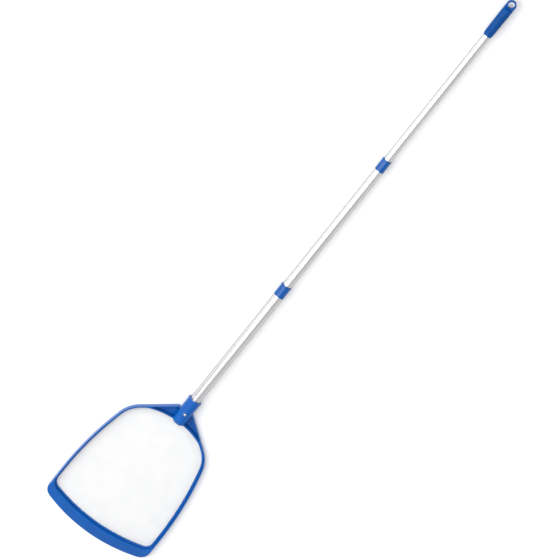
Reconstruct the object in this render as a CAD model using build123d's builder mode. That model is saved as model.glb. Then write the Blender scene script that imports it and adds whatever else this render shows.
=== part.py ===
from build123d import *
import math
import os

os.makedirs("parts", exist_ok=True)

# Leaf skimmer net: a flat scoop with a fine net, on a pole of three telescoping tubes.
#
# The scoop lies flat with its open side up. +X is to the right, +Y runs from the scoop's
# lip towards the hanging eye, and +Z is up. The origin is under the middle of the whole
# length, at the height of the face that the rim rests on. Lengths are in millimetres.
# Stations along the pole are measured from the socket's mouth, positive towards the eye.

# ---- driving dimensions ----
LIP_REACH = 435.5  # mouth of the socket to the tip of the lip
EYE_REACH = 1274.5  # mouth of the socket to the end of the hanging eye
MOUTH_Y = (LIP_REACH - EYE_REACH) / 2
POLE_Z = 18.0  # height of the pole's axis above the resting face

# scoop
RIM_HEIGHT = 16.0
RIM_WALL = 2.4
BASE_THICK = 2.2  # the ledge that carries the net, and the floor of the gussets
LEDGE_WIDTH = 5.4
LIP_RADIUS = 421.0  # the lip's front edge, seen from above
LIP_EDGE_THICK = 2.0
LIP_SLOPE_RADIUS = 397.0  # where the lip's ramp starts to fall, from the same centre
LIP_SKIN = 2.4
LIP_BACK_RADIUS = 461.0  # the wall behind the lip, seen from above
LIP_BACK_REACH = 405.5  # mouth of the socket to that wall
SIDE_HALF_WIDTH = 149.0
SIDE_END = 347.0  # mouth of the socket to where the sides run straight
FRONT_CORNER_RADIUS = 27.0
GUSSET_TOP = (21.5, -37.5)  # the right half's corners, seen from above and measured from the mouth
GUSSET_END = (96.0, -95.5)
SHOULDER_END = (124.3, -139.0)
ARCH_TOP = (0.0, -69.5)  # the tray's end under the socket, an arc that runs on past the scoop's sides
ARCH_END = (160.0, -151.0)
ARCH_BLEND_RADIUS = 60.0  # where the arch meets the rim's wall
CORNER_PAST_X = 140.0  # the front corners are the only ones further out than this
RECESS_REACH = 98.0  # mouth of the socket to the ends of the gussets' recesses
LIP_RIBS = 9
LIP_RIB_THICK = 1.8
LIP_HOLLOW_HALF_ANGLE = 17.5  # degrees each side of the middle
LIP_HOLLOW_MARGIN = 3.0  # left behind the hollows besides the rim wall, because the wall curves less
LIP_HOLLOW_FRONT = 6.0  # solid band along the lip's edge

# socket on the scoop
SOCKET_RADIUS = 17.2
SOCKET_FLANGE_RADIUS = 18.0
SOCKET_FLANGE_LENGTH = 4.0
SOCKET_LENGTH = 73.0
SOCKET_END_WALL = 4.0
SOCKET_END_SLOPE = 5.0  # the closed end is bevelled by this much
SOCKET_CLEARANCE = 0.1

# net and the ring that clamps it
NET_BOTTOM = 2.25
NET_THICK = 0.5
NET_EDGE_GAP = 0.4
RING_BOTTOM = 2.8
RING_THICK = 1.8
RING_OUTER_GAP = 0.2
RING_WIDTH = 4.7

# pole: outer radius, wall, and stations of each tube's ends
TUBE_WALL = 1.0
LOWER_RADIUS = 12.5
LOWER_START = -66.0
LOWER_END = 360.0
MIDDLE_RADIUS = 11.0
MIDDLE_START = 285.0
MIDDLE_END = 761.5
UPPER_RADIUS = 9.5
UPPER_START = 686.5
UPPER_END = 1244.5

# collars at the joints
COLLAR_LENGTH = 34.0
COLLAR_PAST_TUBE = 8.5
COLLAR_WALL = 1.0
COLLAR_BAND = 0.35  # how far the end bands stand proud
COLLAR_BAND_LENGTH = 5.0
GUIDE_CLEARANCE = 0.1
SEAT_CLEARANCE = 0.05

# snap button
BUTTON_STATION = -41.0
BUTTON_RADIUS = 3.3
BUTTON_TOP = 36.2
BUTTON_ROUNDING = 1.8
BUTTON_HOLE_TUBE = 3.5
BUTTON_HOLE_SOCKET = 4.0
BUTTON_FLANGE_RADIUS = 4.6
BUTTON_FLANGE_TOP = 28.3
BUTTON_FLANGE_THICK = 1.6
CLIP_WIDTH = 7.5
CLIP_THICK = 0.8
CLIP_LEG_LIFT = 1.0  # the flat strip's edges rest on the round tube, so its middle is higher
CLIP_LEG_START = -62.0
CLIP_BEND = -18.0
CLIP_BEND_RISE = 6.0
CLIP_PAD_FRONT = 6.0  # the strip's flat end under the button, each side of its middle
CLIP_PAD_BACK = 7.0
CLIP_BEND_RADIUS = 2.0
CLIP_GAP = 0.05

# hand grip and hanging eye
GRIP_START = 1165.5
GRIP_SLEEVE_END = 1251.5
GRIP_RADIUS_START = 10.9
GRIP_RADIUS_END = 11.9
GRIP_BORE_END = 1245.5
EYE_STATION = 1262.5
EYE_HOLE_RADIUS = 8.5
EYE_RADIUS = 12.0
EYE_THICK = 9.0
EYE_ROOT_LENGTH = 19.0  # how far the eye's flat reaches back into the sleeve
GRIP_NOSE = 6.0  # the sleeve's end is drawn in over this length

# ---- planes and axes ----
HEAD = Plane((0, MOUTH_Y, 0))  # seen from above, with its origin under the mouth
SIDE = Plane((0, MOUTH_Y, POLE_Z), x_dir=(0, 1, 0), z_dir=(1, 0, 0))  # x is the station, y is radius
POLE_AXIS = Axis((0, MOUTH_Y, POLE_Z), (0, 1, 0))
LIP_CENTRE_Y = MOUTH_Y - LIP_REACH + LIP_RADIUS
LIP_AXIS = Axis((0, LIP_CENTRE_Y, 0), (0, 0, 1))
LIP_SECTION = Plane((0, LIP_CENTRE_Y, 0), x_dir=(1, 0, 0), z_dir=(0, -1, 0))  # a section through the lip


def across(station, shift=0.0):
    """A plane square to the pole at a station, its origin shifted along +X."""
    return Plane((shift, MOUTH_Y + station, POLE_Z), x_dir=(1, 0, 0), z_dir=(0, 1, 0))


def save(part, name):
    part.label = name
    export_step(part, f"parts/{name}.step")


def arc_depth(reach, radius, x):
    """How far from the mouth an arc that bulges away from it lies, x to the side."""
    return reach - radius + (radius**2 - x**2) ** 0.5


def draw_outer_outline():
    """The scoop's outer edge: gusset shoulders, swept sides and the curved lip."""
    top = Line((0, GUSSET_TOP[1]), GUSSET_TOP)
    gusset = Line(top @ 1, GUSSET_END)
    shoulder = TangentArc(gusset @ 1, SHOULDER_END, tangent=gusset % 1)
    side = TangentArc(shoulder @ 1, (SIDE_HALF_WIDTH, -SIDE_END), tangent=shoulder % 1)
    corner = (SIDE_HALF_WIDTH, -arc_depth(LIP_REACH, LIP_RADIUS, SIDE_HALF_WIDTH))
    Line(side @ 1, corner)
    ThreePointArc(
        corner,
        (SIDE_HALF_WIDTH / 2, -arc_depth(LIP_REACH, LIP_RADIUS, SIDE_HALF_WIDTH / 2)),
        (0, -LIP_REACH),
    )
    mirror(about=Plane.YZ)


def outer_face():
    with BuildSketch() as face:
        with BuildLine():
            draw_outer_outline()
        make_face()
        corners = [v for v in face.vertices() if abs(v.X) > CORNER_PAST_X and v.Y < -SIDE_END - 1]
        fillet(corners, FRONT_CORNER_RADIUS)
    return face.sketch


outer = outer_face()


def draw_tray_bounds():
    """Where the tray ends: an arch under the socket and the lip's back wall, past the sides."""
    arch = TangentArc(ARCH_TOP, ARCH_END, tangent=(1, 0))
    depth = arc_depth(LIP_BACK_REACH, LIP_BACK_RADIUS, ARCH_END[0])
    half_depth = arc_depth(LIP_BACK_REACH, LIP_BACK_RADIUS, ARCH_END[0] / 2)
    Line(arch @ 1, (ARCH_END[0], -depth))
    ThreePointArc((ARCH_END[0], -depth), (ARCH_END[0] / 2, -half_depth), (0, -LIP_BACK_REACH))
    mirror(about=Plane.YZ)


def tray_face(inset):
    """The tray seen from above: inside the rim's wall, drawn in from the wall's inside face."""
    with BuildSketch() as face:
        add(outer)
        offset(amount=-RIM_WALL, mode=Mode.REPLACE)
        with BuildLine():
            draw_tray_bounds()
        make_face(mode=Mode.INTERSECT)
        corners = [v for v in face.vertices() if abs(v.X) > CORNER_PAST_X and v.Y < -SIDE_END - 1]
        fillet(corners, FRONT_CORNER_RADIUS - RIM_WALL)
        arch_ends = [v for v in face.vertices() if abs(v.X) > GUSSET_TOP[0] and v.Y > GUSSET_END[1]]
        fillet(arch_ends, ARCH_BLEND_RADIUS)
        if inset:
            offset(amount=-inset, mode=Mode.REPLACE)
    return face.sketch


tray = tray_face(0)
net_opening = tray_face(LEDGE_WIDTH)
net_outline = tray_face(NET_EDGE_GAP)
ring_outside = tray_face(RING_OUTER_GAP)
ring_inside = tray_face(RING_OUTER_GAP + RING_WIDTH)

with BuildSketch() as gusset_recess:
    add(outer)
    offset(amount=-RIM_WALL, mode=Mode.REPLACE)
    add(offset(tray, amount=RIM_WALL, mode=Mode.PRIVATE), mode=Mode.SUBTRACT)
    with Locations((0, -RECESS_REACH)):
        Rectangle(3 * SIDE_HALF_WIDTH, LIP_REACH, align=(Align.CENTER, Align.MAX), mode=Mode.SUBTRACT)

# ---- scoop ----
with BuildPart() as head_frame:
    with BuildSketch(HEAD):
        add(outer)
    extrude(amount=RIM_HEIGHT)
    # the lip's ramp, falling to a thin front edge
    with BuildSketch(Plane.YZ):
        with BuildLine():
            Polyline(
                (LIP_CENTRE_Y - LIP_SLOPE_RADIUS, RIM_HEIGHT),
                (LIP_CENTRE_Y - LIP_RADIUS, LIP_EDGE_THICK),
                (LIP_CENTRE_Y - LIP_RADIUS - 2, LIP_EDGE_THICK),
                (LIP_CENTRE_Y - LIP_RADIUS - 2, RIM_HEIGHT + 1),
                (LIP_CENTRE_Y - LIP_SLOPE_RADIUS, RIM_HEIGHT + 1),
                close=True,
            )
        make_face()
    revolve(axis=LIP_AXIS, mode=Mode.SUBTRACT)
    # the tray, open at the top, with a ledge round the net's opening
    with BuildSketch(HEAD.offset(BASE_THICK)):
        add(tray)
    extrude(amount=RIM_HEIGHT, mode=Mode.SUBTRACT)
    with BuildSketch(HEAD):
        add(net_opening)
    extrude(amount=BASE_THICK, mode=Mode.SUBTRACT)
    # the gussets are recessed between the outer edge and the arch
    with BuildSketch(HEAD.offset(BASE_THICK)):
        add(gusset_recess.sketch)
    extrude(amount=RIM_HEIGHT, mode=Mode.SUBTRACT)
    # the lip is hollow underneath, with ribs between the hollows
    hollow_angle = 2 * LIP_HOLLOW_HALF_ANGLE / LIP_RIBS
    rib_angle = math.degrees(LIP_RIB_THICK / LIP_RADIUS)
    slope = (RIM_HEIGHT - LIP_EDGE_THICK) / (LIP_RADIUS - LIP_SLOPE_RADIUS)
    hollow_back = LIP_BACK_REACH + RIM_WALL + LIP_HOLLOW_MARGIN - (LIP_REACH - LIP_RADIUS)
    hollow_front = LIP_RADIUS - LIP_HOLLOW_FRONT
    hollow_top = RIM_HEIGHT - LIP_SKIN
    hollow_low_top = hollow_top - (hollow_front - LIP_SLOPE_RADIUS) * slope
    for index in range(LIP_RIBS):
        start = -90 - LIP_HOLLOW_HALF_ANGLE + index * hollow_angle + rib_angle / 2
        wedge_plane = LIP_SECTION.rotated((0, 0, start))
        with BuildSketch(wedge_plane):
            with BuildLine():
                Polyline(
                    (hollow_back, -1),
                    (hollow_front, -1),
                    (hollow_front, hollow_low_top),
                    (LIP_SLOPE_RADIUS, hollow_top),
                    (hollow_back, hollow_top),
                    close=True,
                )
            make_face()
        revolve(axis=LIP_AXIS, revolution_arc=hollow_angle - rib_angle, mode=Mode.SUBTRACT)
    # the socket lies over the gussets' floor and ends a little past the arch
    with BuildSketch(SIDE):
        with BuildLine():
            Polyline(
                (-SOCKET_LENGTH, 0),
                (-SOCKET_LENGTH, SOCKET_RADIUS - SOCKET_END_SLOPE),
                (-SOCKET_LENGTH + SOCKET_END_SLOPE, SOCKET_RADIUS),
                (-SOCKET_FLANGE_LENGTH - 1, SOCKET_RADIUS),
                (-SOCKET_FLANGE_LENGTH, SOCKET_FLANGE_RADIUS),
                (0, SOCKET_FLANGE_RADIUS),
                (0, 0),
                close=True,
            )
        make_face()
    revolve(axis=POLE_AXIS)
    with BuildSketch(across(0)):
        Circle(LOWER_RADIUS + SOCKET_CLEARANCE)
    extrude(amount=-(SOCKET_LENGTH - SOCKET_END_WALL), mode=Mode.SUBTRACT)
    with BuildSketch(HEAD.offset(POLE_Z)):
        with Locations((0, BUTTON_STATION)):
            Circle(BUTTON_HOLE_SOCKET)
    extrude(amount=SOCKET_FLANGE_RADIUS, mode=Mode.SUBTRACT)
    # its end is cut away underneath, over the edge of the net and the clamp ring
    with BuildSketch(HEAD.offset(BASE_THICK)):
        add(tray)
    extrude(amount=RING_BOTTOM + RING_THICK + RING_OUTER_GAP - BASE_THICK, mode=Mode.SUBTRACT)
save(head_frame.part, "head_frame")

with BuildPart() as net:
    with BuildSketch(HEAD.offset(NET_BOTTOM)):
        add(net_outline)
    extrude(amount=NET_THICK)
save(net.part, "net")

with BuildPart() as net_clamp_ring:
    with BuildSketch(HEAD.offset(RING_BOTTOM)):
        add(ring_outside)
        add(ring_inside, mode=Mode.SUBTRACT)
    extrude(amount=RING_THICK)
save(net_clamp_ring.part, "net_clamp_ring")

# ---- snap button and its leaf spring ----
with BuildPart() as snap_button:
    with BuildSketch(HEAD.offset(BUTTON_FLANGE_TOP - BUTTON_FLANGE_THICK)):
        with Locations((0, BUTTON_STATION)):
            Circle(BUTTON_FLANGE_RADIUS)
    extrude(amount=BUTTON_FLANGE_THICK)
    with BuildSketch(HEAD.offset(BUTTON_FLANGE_TOP)):
        with Locations((0, BUTTON_STATION)):
            Circle(BUTTON_RADIUS)
    extrude(amount=BUTTON_TOP - BUTTON_FLANGE_TOP)
    fillet(snap_button.edges().group_by(Axis.Z)[-1], BUTTON_ROUNDING)
save(snap_button.part, "snap_button")

with BuildPart() as clip_spring:
    low = -(LOWER_RADIUS - TUBE_WALL) + CLIP_LEG_LIFT + CLIP_THICK / 2
    high = BUTTON_FLANGE_TOP - BUTTON_FLANGE_THICK - POLE_Z - CLIP_THICK / 2 - CLIP_GAP
    with BuildLine(SIDE) as clip_path:
        FilletPolyline(
            (CLIP_LEG_START, low),
            (CLIP_BEND, low),
            (CLIP_BEND, low + CLIP_BEND_RISE),
            (BUTTON_STATION + CLIP_PAD_FRONT, high),
            (BUTTON_STATION - CLIP_PAD_BACK, high),
            radius=CLIP_BEND_RADIUS,
        )
    clip_start = clip_path.line @ 0
    with BuildSketch(Plane(clip_start, x_dir=(1, 0, 0), z_dir=clip_path.line % 0)):
        Rectangle(CLIP_WIDTH, CLIP_THICK)
    sweep(path=clip_path.line)
save(clip_spring.part, "clip_spring")


# ---- pole ----
def make_tube(radius, start, end):
    with BuildPart() as tube:
        with BuildSketch(across(start)):
            Circle(radius)
            Circle(radius - TUBE_WALL, mode=Mode.SUBTRACT)
        extrude(amount=end - start)
    return tube.part


plain_lower_tube = make_tube(LOWER_RADIUS, LOWER_START, LOWER_END)
with BuildPart() as lower_tube:
    add(plain_lower_tube)
    with BuildSketch(HEAD.offset(POLE_Z)):
        with Locations((0, BUTTON_STATION)):
            Circle(BUTTON_HOLE_TUBE)
    extrude(amount=SOCKET_FLANGE_RADIUS, mode=Mode.SUBTRACT)
save(lower_tube.part, "lower_tube")
save(make_tube(MIDDLE_RADIUS, MIDDLE_START, MIDDLE_END), "middle_tube")
save(make_tube(UPPER_RADIUS, UPPER_START, UPPER_END), "upper_tube")


def make_collar(outer_tube_radius, inner_tube_radius, tube_end):
    """A sleeve on the outer tube's end, stepped down to guide the inner tube."""
    end = tube_end + COLLAR_PAST_TUBE
    start = end - COLLAR_LENGTH
    seat = outer_tube_radius + SEAT_CLEARANCE
    guide = inner_tube_radius + GUIDE_CLEARANCE
    body = outer_tube_radius + COLLAR_WALL
    band = body + COLLAR_BAND
    with BuildPart() as collar:
        with BuildSketch(SIDE):
            with BuildLine():
                Polyline(
                    (start, seat),
                    (start, band - 0.6),
                    (start + 0.6, band),
                    (start + COLLAR_BAND_LENGTH, band),
                    (start + COLLAR_BAND_LENGTH + 0.5, body),
                    (end - COLLAR_BAND_LENGTH - 0.5, body),
                    (end - COLLAR_BAND_LENGTH, band),
                    (end - 1.2, band),
                    (end, band - 1.2),
                    (end, guide),
                    (tube_end, guide),
                    (tube_end, seat),
                    close=True,
                )
            make_face()
        revolve(axis=POLE_AXIS)
    return collar.part


save(make_collar(LOWER_RADIUS, MIDDLE_RADIUS, LOWER_END), "lower_collar")
save(make_collar(MIDDLE_RADIUS, UPPER_RADIUS, MIDDLE_END), "upper_collar")


# ---- twist locks ----
STAGE_GAP = 0.5  # from one tube's outside to the inside of the tube around it
NECK_SHARE = 0.45  # radius of the glide ring's neck beside the tube's
JOURNAL_SHARE = 0.37
SLIT_SHARE = 1.5  # width of the cam's slit beside the journal's radius
CORE_LENGTH = 20.0
LOCK_FLANGE = 2.0
GLIDE_LENGTH = 12.0
LOCK_SHOULDER = 2.0
CAM_LENGTH = 14.0
RETAINER_LENGTH = 3.0
LOCK_STEP = 1.5  # how far the shoulder and the retainer stand out
END_PLAY = 0.3
RUNNING_CLEARANCE = 0.06


class TwistLock:
    """The sizes of one lock, from the tube that it is fixed in and the tube that it grips."""

    def __init__(self, tube_radius, tube_start, eccentricity, wall_gap):
        self.tube_start = tube_start
        self.core_radius = tube_radius - TUBE_WALL - SEAT_CLEARANCE
        self.flange_radius = tube_radius
        self.outer_bore = tube_radius + STAGE_GAP
        self.neck_radius = NECK_SHARE * tube_radius
        self.journal_radius = JOURNAL_SHARE * tube_radius
        self.eccentricity = eccentricity
        self.cam_radius = self.outer_bore - wall_gap


middle_lock = TwistLock(MIDDLE_RADIUS, MIDDLE_START, eccentricity=1.0, wall_gap=1.0)
upper_lock = TwistLock(UPPER_RADIUS, UPPER_START, eccentricity=0.9, wall_gap=0.9)


def make_spindle(lock):
    """A plug in the tube's end, a neck for the glide ring, and an eccentric journal for the cam."""
    neck_end = lock.tube_start - LOCK_FLANGE
    shoulder_end = neck_end - GLIDE_LENGTH
    journal_end = shoulder_end - LOCK_SHOULDER
    cam_end = journal_end - CAM_LENGTH
    retainer_end = cam_end - RETAINER_LENGTH
    with BuildPart() as spindle:
        for station, length, radius, shift in [
            (lock.tube_start, CORE_LENGTH, lock.core_radius, 0),
            (neck_end, LOCK_FLANGE, lock.flange_radius, 0),
            (shoulder_end, GLIDE_LENGTH, lock.neck_radius, 0),
            (journal_end, LOCK_SHOULDER, lock.neck_radius + LOCK_STEP, 0),
            (cam_end, CAM_LENGTH, lock.journal_radius, lock.eccentricity),
            (retainer_end, RETAINER_LENGTH, lock.journal_radius + LOCK_STEP, lock.eccentricity),
        ]:
            with BuildSketch(across(station, shift)):
                Circle(radius)
            extrude(amount=length)
    return spindle.part


def make_glide_ring(lock):
    station = lock.tube_start - LOCK_FLANGE - GLIDE_LENGTH + END_PLAY
    with BuildPart() as ring:
        with BuildSketch(across(station)):
            Circle(lock.outer_bore - RUNNING_CLEARANCE)
            Circle(lock.neck_radius + RUNNING_CLEARANCE, mode=Mode.SUBTRACT)
        extrude(amount=GLIDE_LENGTH - 2 * END_PLAY)
    return ring.part


def make_cam(lock):
    """An eccentric ring with a slit, which snaps over the journal and jams in the tube when turned."""
    station = lock.tube_start - LOCK_FLANGE - GLIDE_LENGTH - LOCK_SHOULDER - CAM_LENGTH + END_PLAY
    slit = SLIT_SHARE * lock.journal_radius
    with BuildPart() as cam:
        with BuildSketch(across(station)):
            Circle(lock.cam_radius)
            with Locations((lock.eccentricity, 0)):
                Circle(lock.journal_radius + RUNNING_CLEARANCE, mode=Mode.SUBTRACT)
                Rectangle(lock.cam_radius, slit, align=(Align.MIN, Align.CENTER), mode=Mode.SUBTRACT)
        extrude(amount=CAM_LENGTH - 2 * END_PLAY)
    return cam.part


for stage, lock in [("middle", middle_lock), ("upper", upper_lock)]:
    save(make_spindle(lock), f"{stage}_lock_spindle")
    save(make_glide_ring(lock), f"{stage}_glide_ring")
    save(make_cam(lock), f"{stage}_lock_cam")

# ---- hand grip ----
with BuildPart() as hand_grip:
    with BuildSketch(SIDE):
        with BuildLine():
            Polyline(
                (GRIP_START, 0),
                (GRIP_START, GRIP_RADIUS_START - 0.8),
                (GRIP_START + 0.8, GRIP_RADIUS_START),
                (GRIP_SLEEVE_END - GRIP_NOSE, GRIP_RADIUS_END),
                (GRIP_SLEEVE_END - 2, GRIP_RADIUS_END - 2.5),
                (GRIP_SLEEVE_END, EYE_THICK / 2),
                (GRIP_SLEEVE_END, 0),
                close=True,
            )
        make_face()
    revolve(axis=POLE_AXIS)
    with BuildSketch(HEAD.offset(POLE_Z - EYE_THICK / 2)):
        with Locations((0, EYE_STATION)):
            Circle(EYE_RADIUS)
        with Locations((0, EYE_STATION)):
            Rectangle(2 * GRIP_RADIUS_END, EYE_ROOT_LENGTH, align=(Align.CENTER, Align.MAX))
    extrude(amount=EYE_THICK)
    with BuildSketch(across(GRIP_START)):
        Circle(UPPER_RADIUS + SEAT_CLEARANCE)
    extrude(amount=GRIP_BORE_END - GRIP_START, mode=Mode.SUBTRACT)
    with BuildSketch(HEAD):
        with Locations((0, EYE_STATION)):
            Circle(EYE_HOLE_RADIUS)
    extrude(amount=2 * POLE_Z, mode=Mode.SUBTRACT)
save(hand_grip.part, "hand_grip")
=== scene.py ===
"""The looks of a leaf skimmer net: moulded blue scoop, fine white net and a three-section aluminium pole.

The CAD frame gives every size and place. +Y runs along the pole from the lip to the hanging eye, +X is to
the right of the pole and +Z is up. All lengths are in metres.
"""

import math

import bpy
from mathutils import Matrix, Vector


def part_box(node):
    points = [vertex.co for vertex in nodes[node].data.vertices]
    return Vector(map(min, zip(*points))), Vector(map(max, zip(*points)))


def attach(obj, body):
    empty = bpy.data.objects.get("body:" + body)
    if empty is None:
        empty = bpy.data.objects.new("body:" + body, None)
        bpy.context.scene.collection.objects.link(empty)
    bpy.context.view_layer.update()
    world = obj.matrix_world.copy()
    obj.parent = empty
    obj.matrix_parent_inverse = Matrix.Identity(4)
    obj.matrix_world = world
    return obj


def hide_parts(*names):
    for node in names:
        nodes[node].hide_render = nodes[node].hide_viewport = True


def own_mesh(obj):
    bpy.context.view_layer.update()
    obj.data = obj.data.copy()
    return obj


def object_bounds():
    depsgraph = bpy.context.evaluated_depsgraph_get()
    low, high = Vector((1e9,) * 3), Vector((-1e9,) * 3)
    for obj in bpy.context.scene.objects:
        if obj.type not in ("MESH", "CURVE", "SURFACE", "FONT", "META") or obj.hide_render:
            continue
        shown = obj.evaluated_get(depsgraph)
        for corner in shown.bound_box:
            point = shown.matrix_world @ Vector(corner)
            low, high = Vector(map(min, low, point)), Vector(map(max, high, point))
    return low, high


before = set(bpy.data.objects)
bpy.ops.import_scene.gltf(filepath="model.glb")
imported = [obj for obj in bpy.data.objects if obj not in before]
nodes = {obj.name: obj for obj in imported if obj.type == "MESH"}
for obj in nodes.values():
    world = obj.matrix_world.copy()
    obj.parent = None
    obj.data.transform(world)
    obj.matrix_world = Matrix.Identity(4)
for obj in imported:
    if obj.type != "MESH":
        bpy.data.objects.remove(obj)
cad_low, cad_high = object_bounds()

MM = 0.001
scene = bpy.context.scene
mouth_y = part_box("head_frame")[1].y
tube_low, tube_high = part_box("lower_tube")
pole_z = (tube_low.z + tube_high.z) / 2

# ---- camera ----
VIEW_AZIMUTH = 212.5
VIEW_ELEVATION = 70.2
POLE_ANGLE = 51.32  # degrees that the pole stands above the picture's horizontal
VIEW_DISTANCE = 40.0
VIEW_WIDTH = 1.344  # what the picture's width takes in at the aim point
AIM_ALONG = 0.3681  # from the socket's mouth, towards the eye
AIM_ACROSS = 0.0212  # to the left of the pole in the picture
SENSOR = 36.0


def make_camera():
    azimuth = math.radians(VIEW_AZIMUTH)
    elevation = math.radians(VIEW_ELEVATION)
    back = Vector((
        math.sin(azimuth) * math.cos(elevation),
        -math.cos(azimuth) * math.cos(elevation),
        math.sin(elevation),
    ))
    pole = Vector((0, 1, 0))
    along = (pole - back * pole.dot(back)).normalized()
    left = back.cross(along)
    angle = math.radians(POLE_ANGLE)
    right = along * math.cos(angle) - left * math.sin(angle)
    up = along * math.sin(angle) + left * math.cos(angle)
    aim = Vector((0, mouth_y + AIM_ALONG, pole_z)) + left * AIM_ACROSS
    place = aim + back * VIEW_DISTANCE
    data = bpy.data.cameras.new("camera")
    data.sensor_width = SENSOR
    data.lens = SENSOR * VIEW_DISTANCE / VIEW_WIDTH
    camera = bpy.data.objects.new("camera", data)
    scene.collection.objects.link(camera)
    turn = Matrix((right, up, back)).transposed()
    camera.matrix_world = Matrix.Translation(place) @ turn.to_4x4()
    scene.camera = camera


# ---- nodes of materials ----
EDGE_SAMPLES = 6  # rays that each rounded edge is worked out from


def add_node(tree, kind, inputs=None, **settings):
    """A shader node; an input is given as a value or as the socket that feeds it."""
    made = tree.nodes.new(kind)
    for name, value in settings.items():
        setattr(made, name, value)
    for name, value in (inputs or {}).items():
        if isinstance(value, bpy.types.NodeSocket):
            tree.links.new(value, made.inputs[name])
        else:
            made.inputs[name].default_value = value
    return made


def add_noise(tree, scale, stretch=(1, 1, 1), detail=3.0):
    """Noise in the object's own space, of scale features to the metre; a small stretch draws it out."""
    place = add_node(tree, "ShaderNodeTexCoord").outputs["Object"]
    spread = add_node(tree, "ShaderNodeMapping", {"Vector": place, "Scale": stretch}).outputs["Vector"]
    inputs = {"Vector": spread, "Scale": scale, "Detail": detail}
    return add_node(tree, "ShaderNodeTexNoise", inputs).outputs[0]


def add_ramp(tree, factor, low, high, low_at=0.35, high_at=0.65):
    """Goes from the low colour to the high one as the factor rises."""
    ramp = add_node(tree, "ShaderNodeValToRGB", {0: factor})
    ramp.color_ramp.elements[0].position = low_at
    ramp.color_ramp.elements[0].color = (*low, 1)
    ramp.color_ramp.elements[1].position = high_at
    ramp.color_ramp.elements[1].color = (*high, 1)
    return ramp.outputs["Color"]


def add_range(tree, factor, low, high):
    """The factor's 0.3 to 0.7 spread out from low to high."""
    inputs = {"Value": factor, "From Min": 0.3, "From Max": 0.7, "To Min": low, "To Max": high}
    return add_node(tree, "ShaderNodeMapRange", inputs).outputs["Result"]


def add_mix(tree, factor, first, second):
    """Goes from the first colour to the second as the factor rises from 0 to 1."""
    mix = add_node(tree, "ShaderNodeMix", data_type="RGBA")
    for index, value in ((0, factor), (6, first), (7, second)):
        if isinstance(value, bpy.types.NodeSocket):
            tree.links.new(value, mix.inputs[index])
        else:
            mix.inputs[index].default_value = value
    return mix.outputs[2]


def add_rounding(tree, radius):
    """The surface's direction with its edges rounded to that radius."""
    return add_node(tree, "ShaderNodeBevel", {"Radius": radius}, samples=EDGE_SAMPLES).outputs["Normal"]


def add_bump(tree, height, depth, rounding=None):
    """Relief of that depth, over edges rounded to that radius."""
    inputs = {"Height": height, "Distance": depth, "Strength": 1.0}
    if rounding:
        inputs["Normal"] = add_rounding(tree, rounding)
    return add_node(tree, "ShaderNodeBump", inputs).outputs["Normal"]


def add_edges(tree, radius):
    """1 on the edges and 0 on the faces between them."""
    rounded = add_rounding(tree, radius)
    flat = add_node(tree, "ShaderNodeNewGeometry").outputs["Normal"]
    same = add_node(tree, "ShaderNodeVectorMath", {0: rounded, 1: flat}, operation="DOT_PRODUCT")
    inputs = {"Value": same.outputs["Value"], "From Min": 1.0, "From Max": 0.85, "To Min": 0.0, "To Max": 1.0}
    return add_node(tree, "ShaderNodeMapRange", inputs).outputs["Result"]


def new_material(name, inputs):
    material = bpy.data.materials.new(name)
    material.use_nodes = True
    shader = material.node_tree.nodes["Principled BSDF"]
    for key, value in inputs.items():
        shader.inputs[key].default_value = value
    return material, material.node_tree, shader


def feed(tree, shader, **sockets):
    """Links each socket to the shader's input of that name."""
    for name, socket in sockets.items():
        tree.links.new(socket, shader.inputs[name.replace("_", " ")])


# ---- materials ----
def make_moulded_blue(name, low, high, edge, shine, roughness, grain):
    """Semi-gloss plastic: uneven pigment, a fine mould grain, and painted shade on the edges, which are
    painted a darker, duller blue.
    """
    material, tree, shader = new_material(name, {"Specular IOR Level": shine, "IOR": 1.46})
    cloudy = add_noise(tree, 28, detail=4.0)
    body = add_ramp(tree, cloudy, low, high)
    # painted shade: the edges are painted the darker, duller edge colour for how light falls on thin rims,
    # not for wear
    painted_edge_shade = add_edges(tree, 1.2 * MM)
    colour = add_mix(tree, painted_edge_shade, body, (*edge, 1))
    patchy = add_noise(tree, 90, detail=5.0)
    gloss = add_range(tree, patchy, roughness - 0.06, roughness + 0.06)
    fine = add_noise(tree, 2200, detail=2.0)
    relief = add_bump(tree, fine, grain, 0.5 * MM)
    feed(tree, shader, Base_Color=colour, Roughness=gloss, Normal=relief)
    return material


def make_drawn_metal(name, low, high, roughness, streak_depth):
    """Drawn tube: fine streaks along its length, uneven polish, and duller at a glancing angle."""
    material, tree, shader = new_material(name, {"Metallic": 1.0, "Specular Tint": (0, 0, 0, 1)})
    streaks = add_noise(tree, 1600, (1, 0.004, 1), 4.0)
    bands = add_noise(tree, 60, (1, 0.15, 1), 3.0)
    colour = add_ramp(tree, bands, low, high)
    gloss = add_range(tree, streaks, roughness - 0.05, roughness + 0.06)
    relief = add_bump(tree, streaks, streak_depth)
    feed(tree, shader, Base_Color=colour, Roughness=gloss, Normal=relief)
    return material


def make_bright_metal(name, low, high, roughness):
    """Polished or plated small metal pieces, with fine scratches every way."""
    material, tree, shader = new_material(name, {"Metallic": 1.0})
    scratches = add_noise(tree, 1400, (1, 0.2, 1), 6.0)
    tarnish = add_noise(tree, 240, detail=4.0)
    colour = add_ramp(tree, tarnish, low, high)
    gloss = add_range(tree, scratches, roughness - 0.04, roughness + 0.08)
    relief = add_bump(tree, scratches, 0.004 * MM, 0.3 * MM)
    feed(tree, shader, Base_Color=colour, Roughness=gloss, Normal=relief)
    return material


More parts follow.
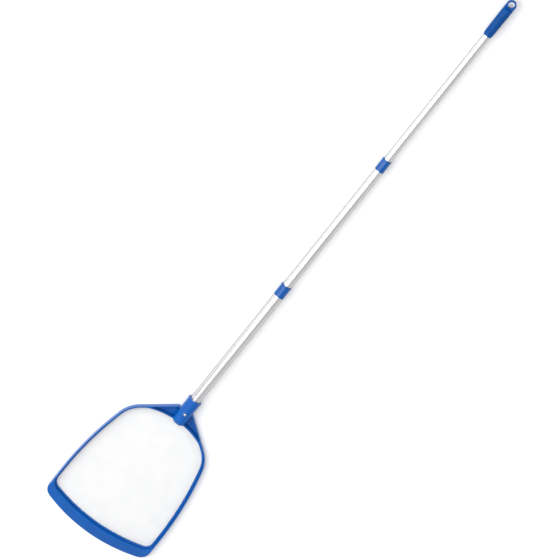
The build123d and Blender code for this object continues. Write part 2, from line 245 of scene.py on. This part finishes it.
def make_nylon(name, low, high):
    """Waxy white bearing plastic, a little see-through at the edges."""
    inputs = {"IOR": 1.53, "Subsurface Weight": 0.15, "Subsurface Scale": 1.0 * MM}
    material, tree, shader = new_material(name, inputs)
    flow = add_noise(tree, 120, (1, 0.3, 1), 4.0)
    colour = add_ramp(tree, flow, low, high)
    fine = add_noise(tree, 1800, detail=2.0)
    gloss = add_range(tree, flow, 0.42, 0.55)
    relief = add_bump(tree, fine, 0.01 * MM, 0.4 * MM)
    feed(tree, shader, Base_Color=colour, Roughness=gloss, Normal=relief)
    return material


def make_thread(name, low, high):
    """Spun polyester: slightly uneven whiteness, soft sheen, and filaments along each thread."""
    material, tree, shader = new_material(name, {"Sheen Weight": 0.15, "Specular IOR Level": 0.3})
    patches = add_noise(tree, 35, detail=3.0)
    colour = add_ramp(tree, patches, low, high)
    filaments = add_noise(tree, 5000, detail=2.0)
    gloss = add_range(tree, filaments, 0.55, 0.75)
    relief = add_bump(tree, filaments, 0.02 * MM)
    feed(tree, shader, Base_Color=colour, Roughness=gloss, Normal=relief)
    return material


def dress(material, *names):
    """Gives the CAD nodes of those names the material."""
    for name in names:
        slots = nodes[name].data.materials
        slots.clear()
        slots.append(material)


# ---- floor and light ----
FLOOR_HALF = 30.0
FLOOR_WHITE = 0.93
FLOOR_GAP = 0.2 * MM  # under the part, so that the two faces don't fight
WORLD_STRENGTH = 0.62
LIGHT_FROM = (-0.53, 0.0, 0.85)  # above the pole, and a little to its left
KEY_DISTANCE = 3.5
KEY_SIZE = (2.7, 5.0)
KEY_POWER = 140


def make_mesh(name, points, faces, material):
    mesh = bpy.data.meshes.new(name)
    mesh.from_pydata(points, [], faces)
    mesh.materials.append(material)
    made = bpy.data.objects.new(name, mesh)
    scene.collection.objects.link(made)
    return made


def make_floor():
    white = (FLOOR_WHITE, FLOOR_WHITE, FLOOR_WHITE, 1)
    material = new_material("floor", {"Base Color": white, "Roughness": 1.0, "Specular IOR Level": 0.0})[0]
    corners = [(x * FLOOR_HALF, y * FLOOR_HALF, 0) for x, y in ((-1, -1), (1, -1), (1, 1), (-1, 1))]
    floor = make_mesh("floor", corners, [(0, 1, 2, 3)], material)
    floor.location.z = cad_low.z - FLOOR_GAP


def make_world():
    """The same soft white from all round."""
    world = bpy.data.worlds.new("studio")
    scene.world = world
    world.use_nodes = True
    background = world.node_tree.nodes["Background"]
    background.inputs["Color"].default_value = (1, 1, 1, 1)
    background.inputs["Strength"].default_value = WORLD_STRENGTH


def make_key_light():
    """A large softbox, longest along the pole."""
    data = bpy.data.lights.new("key", "AREA")
    data.shape = "RECTANGLE"
    data.size, data.size_y = KEY_SIZE
    data.energy = KEY_POWER
    light = bpy.data.objects.new("key", data)
    scene.collection.objects.link(light)
    towards = Vector(LIGHT_FROM).normalized()
    light.location = towards * KEY_DISTANCE
    light.rotation_euler = towards.to_track_quat("Z", "Y").to_euler()


# ---- net ----
THREAD_PITCH = 2.0 * MM
THREAD_RADIUS = 0.2 * MM
THREAD_WAVE = 0.16 * MM  # how far the crosswise threads rise and dip
THREAD_SIDES = 4


def net_edge():
    """The upper edge of the CAD net, as pairs of points."""
    mesh = nodes["net"].data
    top = max(v.co.z for v in mesh.vertices)
    pairs = []
    for polygon in mesh.polygons:
        if abs(polygon.normal.z) > 0.5:
            continue
        for first, second in polygon.edge_keys:
            a, b = mesh.vertices[first].co, mesh.vertices[second].co
            if min(a.z, b.z) > top - 0.01 * MM:
                pairs.append((a, b))
    return pairs


def span(pairs, axis, at):
    """Where a line across the net starts and ends: axis is the one it is square to."""
    other = 1 - axis
    cuts = []
    for a, b in pairs:
        low, high = sorted((a[axis], b[axis]))
        if low < at <= high:
            part = (at - a[axis]) / (b[axis] - a[axis])
            cuts.append(a[other] + part * (b[other] - a[other]))
    return min(cuts), max(cuts)


def add_thread(points, faces, line, side):
    """An open tube along a line of points; side is the unit vector square to it in the net's plane."""
    first = len(points)
    for centre in line:
        for index in range(THREAD_SIDES):
            turn = 2 * math.pi * (index + 0.5) / THREAD_SIDES
            offset = side * math.cos(turn) + Vector((0, 0, math.sin(turn)))
            points.append(centre + THREAD_RADIUS * offset)
    for ring in range(len(line) - 1):
        for index in range(THREAD_SIDES):
            a = first + ring * THREAD_SIDES + index
            b = first + ring * THREAD_SIDES + (index + 1) % THREAD_SIDES
            faces.append((a, b, b + THREAD_SIDES, a + THREAD_SIDES))


def make_net(material):
    """Straight lengthwise threads, with crosswise ones woven over and under them."""
    low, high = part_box("net")
    pairs = net_edge()
    middle_z = (low.z + high.z) / 2
    points, faces = [], []
    across_count = int((high.x - low.x) / THREAD_PITCH)
    along_count = int((high.y - low.y) / THREAD_PITCH)
    columns = [(index - (across_count - 1) / 2) * THREAD_PITCH for index in range(across_count)]
    rows = [low.y + (index + 0.5) * THREAD_PITCH for index in range(along_count)]
    for x in columns:
        start, end = span(pairs, 0, x)
        line = [Vector((x, start, middle_z)), Vector((x, end, middle_z))]
        add_thread(points, faces, line, Vector((1, 0, 0)))
    for row, y in enumerate(rows):
        start, end = span(pairs, 1, y)
        line = [Vector((start, y, middle_z))]
        for column, x in enumerate(columns):
            if start < x < end:
                wave = THREAD_WAVE if (row + column) % 2 else -THREAD_WAVE
                line.append(Vector((x, y, middle_z + wave)))
        line.append(Vector((end, y, middle_z)))
        add_thread(points, faces, line, Vector((0, 1, 0)))
    net = make_mesh("net_threads", points, faces, material)
    net.data.polygons.foreach_set("use_smooth", [True] * len(faces))
    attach(net, "scoop_and_lower_section")
    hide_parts("net")


# ---- grip pads ----
PAD_ROWS = 9
PADS_AROUND = 8
PAD_HALF_LENGTH = 3.7 * MM
PAD_HALF_WIDTH = 2.3 * MM
PAD_HEIGHT = 0.9 * MM
PAD_ROOT = 0.15 * MM  # how deep the pads are set into the grip
PAD_TOP = 0.55  # size of a pad's flat top beside its foot
GRIP_TAPER = 1.0 * MM  # the grip is this much thinner in radius at its start
GRIP_SLEEVE = 79.0 * MM


def make_grip_pads(material):
    """Raised diamonds in staggered rows round the grip's sleeve."""
    low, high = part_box("hand_grip")
    end_radius = high.z - pole_z
    points, faces = [], []
    pitch = GRIP_SLEEVE / (PAD_ROWS + 0.5)
    for row in range(2 * PAD_ROWS):
        centre_y = low.y + (row / 2 + 0.75) * pitch
        for index in range(PADS_AROUND):
            centre_turn = 2 * math.pi * (index + row % 2 / 2) / PADS_AROUND
            first = len(points)
            for size, height in ((1, -PAD_ROOT), (1, 0), (PAD_TOP, PAD_HEIGHT)):
                for step_y, step_round in ((1, 0), (0, 1), (-1, 0), (0, -1)):
                    y = centre_y + size * step_y * PAD_HALF_LENGTH
                    sleeve = end_radius - GRIP_TAPER * (1 - (y - low.y) / GRIP_SLEEVE)
                    turn = centre_turn + size * step_round * PAD_HALF_WIDTH / sleeve
                    radius = sleeve + height
                    points.append((radius * math.sin(turn), y, pole_z + radius * math.cos(turn)))
            for ring in (first, first + 4):
                for corner in range(4):
                    after = (corner + 1) % 4
                    faces.append((ring + corner, ring + corner + 4, ring + after + 4, ring + after))
            faces.append((first + 8, first + 11, first + 10, first + 9))
            faces.append((first, first + 1, first + 2, first + 3))
    pads = make_mesh("grip_pads", points, faces, material)
    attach(pads, "upper_section")


def make_clip_spring(material):
    """The leaf spring, as its own piece with its own copy of the mesh; the real spring flattens while the
    button is pressed.
    """
    spring = bpy.data.objects.new("button_leaf_spring", nodes["clip_spring"].data.copy())
    scene.collection.objects.link(spring)
    spring.data.materials.clear()
    spring.data.materials.append(material)
    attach(spring, "scoop_and_lower_section")
    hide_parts("clip_spring")
    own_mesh(spring)


# ---- the scene ----
scene.view_settings.view_transform = "Standard"
make_camera()
make_floor()
make_world()
make_key_light()

# each edge colour below is painted shade, laid along that plastic's edges
scoop_blue = make_moulded_blue(
    "scoop_blue", (0.0, 0.090, 0.39), (0.0, 0.100, 0.425), edge=(0.010, 0.085, 0.20),
    shine=0.38, roughness=0.20, grain=0.008 * MM)
collar_blue = make_moulded_blue(
    "collar_blue", (0.0, 0.078, 0.33), (0.0, 0.088, 0.36), edge=(0.008, 0.07, 0.20),
    shine=0.42, roughness=0.18, grain=0.008 * MM)
grip_blue = make_moulded_blue(
    "grip_blue", (0.0, 0.066, 0.29), (0.0, 0.080, 0.34), edge=(0.0, 0.05, 0.16),
    shine=0.16, roughness=0.34, grain=0.020 * MM)
aluminium = make_drawn_metal("aluminium", (0.76, 0.76, 0.77), (0.82, 0.82, 0.83), 0.17, 0.002 * MM)
plated = make_bright_metal("plated_button", (0.78, 0.77, 0.75), (0.88, 0.88, 0.87), 0.16)
spring_steel = make_bright_metal("spring_steel", (0.30, 0.29, 0.28), (0.42, 0.41, 0.40), 0.34)
nylon = make_nylon("lock_nylon", (0.80, 0.80, 0.77), (0.88, 0.88, 0.85))
thread = make_thread("net_thread", (0.77, 0.78, 0.78), (0.85, 0.85, 0.85))

dress(scoop_blue, "head_frame", "net_clamp_ring")
dress(collar_blue, "lower_collar", "upper_collar")
dress(grip_blue, "hand_grip")
dress(aluminium, "lower_tube", "middle_tube", "upper_tube")
dress(plated, "snap_button")
dress(spring_steel, "clip_spring")
for stage in ("middle", "upper"):
    dress(nylon, f"{stage}_lock_spindle", f"{stage}_glide_ring", f"{stage}_lock_cam")
dress(thread, "net")
make_net(thread)
make_grip_pads(grip_blue)
make_clip_spring(spring_steel)
